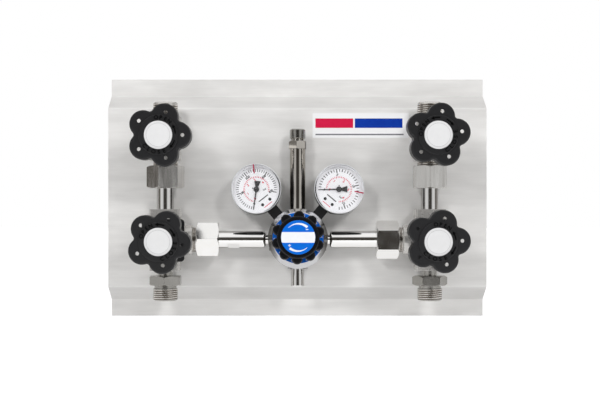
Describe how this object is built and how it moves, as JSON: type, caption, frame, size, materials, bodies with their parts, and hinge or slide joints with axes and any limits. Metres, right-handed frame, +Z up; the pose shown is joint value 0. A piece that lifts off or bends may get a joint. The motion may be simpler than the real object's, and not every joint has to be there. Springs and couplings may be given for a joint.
{
  "type": "gas cylinder manifold",
  "caption": "Wall panel manifold for gas cylinders: shut-off valves with lobed handwheels, a pressure regulator with gauges, a relief valve and threaded ports.",
  "frame": {"origin": "centre of the upper flange's back face, which lies on the wall", "axes": "+Y points into the wall, the front with the handwheels faces -Y, +X to the right as seen from the front, +Z up"},
  "size_m": [0.421, 0.1497, 0.268],
  "materials": {
    "panel_steel": "brushed",
    "label": "printed film",
    "screw_steel": "plated",
    "plated_brass": "nickel plated",
    "tube_chrome": "polished",
    "black_plastic": "satin",
    "white_plastic": "satin",
    "brass": "turned",
    "regulator_chrome": "polished",
    "gauge_black": "satin",
    "dial_white": "white enamel",
    "pointer_black": "black enamel",
    "clear_cover": "clear",
    "spring_steel": "drawn wire",
    "diaphragm_rubber": "matt",
    "blue_plastic": "satin"
  },
  "bodies": {
    "manifold": {"back_panel": "panel_steel", "diaphragm": "diaphragm_rubber", "info_label": "label", "left_feed_tube": "tube_chrome", "left_feed_union_nut": "plated_brass", "left_gauge_case": "gauge_black", "left_gauge_cover": "clear_cover", "left_gauge_dial": "dial_white", "left_inlet_fitting": "plated_brass", "left_riser_pipe": "tube_chrome", "left_riser_union_nut": "plated_brass", "lower_left_gland_nut": "plated_brass", "lower_left_square_plate": "black_plastic", "lower_left_valve_body": "plated_brass", "lower_right_gland_nut": "plated_brass", "lower_right_square_plate": "black_plastic", "lower_right_valve_body": "plated_brass", "outlet_tube": "tube_chrome", "panel_screws": "screw_steel", "range_spring": "spring_steel", "regulator_body": "regulator_chrome", "regulator_bonnet": "regulator_chrome", "relief_valve_body": "plated_brass", "relief_valve_cap": "regulator_chrome", "right_feed_tube": "tube_chrome", "right_feed_union_nut": "plated_brass", "right_gauge_case": "gauge_black", "right_gauge_cover": "clear_cover", "right_gauge_dial": "dial_white", "right_inlet_fitting": "plated_brass", "right_riser_pipe": "tube_chrome", "right_riser_union_nut": "plated_brass", "scale_ring": "blue_plastic", "spacer_sleeves": "screw_steel", "upper_left_gland_nut": "plated_brass", "upper_left_valve_body": "plated_brass", "upper_right_gland_nut": "plated_brass", "upper_right_valve_body": "plated_brass"},
    "upper_left_spindle_and_wheel": {"upper_left_handwheel": "black_plastic", "upper_left_spindle": "brass", "upper_left_wheel_cap": "white_plastic"},
    "upper_left_plug": {"upper_left_valve_plug": "brass"},
    "upper_right_spindle_and_wheel": {"upper_right_handwheel": "black_plastic", "upper_right_spindle": "brass", "upper_right_wheel_cap": "white_plastic"},
    "upper_right_plug": {"upper_right_valve_plug": "brass"},
    "lower_left_spindle_and_wheel": {"lower_left_handwheel": "black_plastic", "lower_left_spindle": "brass", "lower_left_wheel_cap": "white_plastic"},
    "lower_left_plug": {"lower_left_valve_plug": "brass"},
    "lower_right_spindle_and_wheel": {"lower_right_handwheel": "black_plastic", "lower_right_spindle": "brass", "lower_right_wheel_cap": "white_plastic"},
    "lower_right_plug": {"lower_right_valve_plug": "brass"},
    "pressure_knob": {"regulator_knob": "black_plastic", "knob_disc": "blue_plastic", "adjusting_screw": "brass"},
    "spring_plate": {"spring_plate": "spring_steel"},
    "left_pointer": {"left_gauge_pointer": "pointer_black"},
    "right_pointer": {"right_gauge_pointer": "pointer_black"}
  },
  "joints": [
    {"name": "upper_left_handwheel_turn", "type": "hinge", "parent": "manifold", "child": "upper_left_spindle_and_wheel", "pos_m": [-0.144, -0.1485, -0.06], "axis": [0, -1, 0], "range_deg": [0, 720]},
    {"name": "upper_left_plug_lift", "type": "slide", "parent": "upper_left_spindle_and_wheel", "child": "upper_left_plug", "axis": [0, -1, 0], "range_m": [0, 0.003]},
    {"name": "upper_right_handwheel_turn", "type": "hinge", "parent": "manifold", "child": "upper_right_spindle_and_wheel", "pos_m": [0.144, -0.1485, -0.06], "axis": [0, -1, 0], "range_deg": [0, 720]},
    {"name": "upper_right_plug_lift", "type": "slide", "parent": "upper_right_spindle_and_wheel", "child": "upper_right_plug", "axis": [0, -1, 0], "range_m": [0, 0.003]},
    {"name": "lower_left_handwheel_turn", "type": "hinge", "parent": "manifold", "child": "lower_left_spindle_and_wheel", "pos_m": [-0.144, -0.1485, -0.17], "axis": [0, -1, 0], "range_deg": [0, 720]},
    {"name": "lower_left_plug_lift", "type": "slide", "parent": "lower_left_spindle_and_wheel", "child": "lower_left_plug", "axis": [0, -1, 0], "range_m": [0, 0.003]},
    {"name": "lower_right_handwheel_turn", "type": "hinge", "parent": "manifold", "child": "lower_right_spindle_and_wheel", "pos_m": [0.144, -0.1485, -0.17], "axis": [0, -1, 0], "range_deg": [0, 720]},
    {"name": "lower_right_plug_lift", "type": "slide", "parent": "lower_right_spindle_and_wheel", "child": "lower_right_plug", "axis": [0, -1, 0], "range_m": [0, 0.003]},
    {"name": "pressure_knob_turn", "type": "hinge", "parent": "manifold", "child": "pressure_knob", "pos_m": [0, -0.13137, -0.16573], "axis": [0, 0.9981, -0.061], "range_deg": [0, 900]},
    {"name": "spring_plate_travel", "type": "slide", "parent": "manifold", "child": "spring_plate", "axis": [0, 0.9981, -0.061], "range_m": [0, 0.00375], "deforming": ["range_spring"]},
    {"name": "left_pointer_swing", "type": "hinge", "parent": "manifold", "child": "left_pointer", "pos_m": [-0.04484, -0.06816, -0.11509], "axis": [0, 0.9981, -0.061], "range_deg": [0, 270]},
    {"name": "right_pointer_swing", "type": "hinge", "parent": "manifold", "child": "right_pointer", "pos_m": [0.04484, -0.06816, -0.11509], "axis": [0, 0.9981, -0.061], "range_deg": [0, 270]}
  ],
  "couplings": [
    {"joint": "upper_left_plug_lift", "follows": "upper_left_handwheel_turn", "m_per_rad": 0.00023873},
    {"joint": "upper_right_plug_lift", "follows": "upper_right_handwheel_turn", "m_per_rad": 0.00023873},
    {"joint": "lower_left_plug_lift", "follows": "lower_left_handwheel_turn", "m_per_rad": 0.00023873},
    {"joint": "lower_right_plug_lift", "follows": "lower_right_handwheel_turn", "m_per_rad": 0.00023873},
    {"joint": "spring_plate_travel", "follows": "pressure_knob_turn", "m_per_rad": 0.00023873}
  ]
}
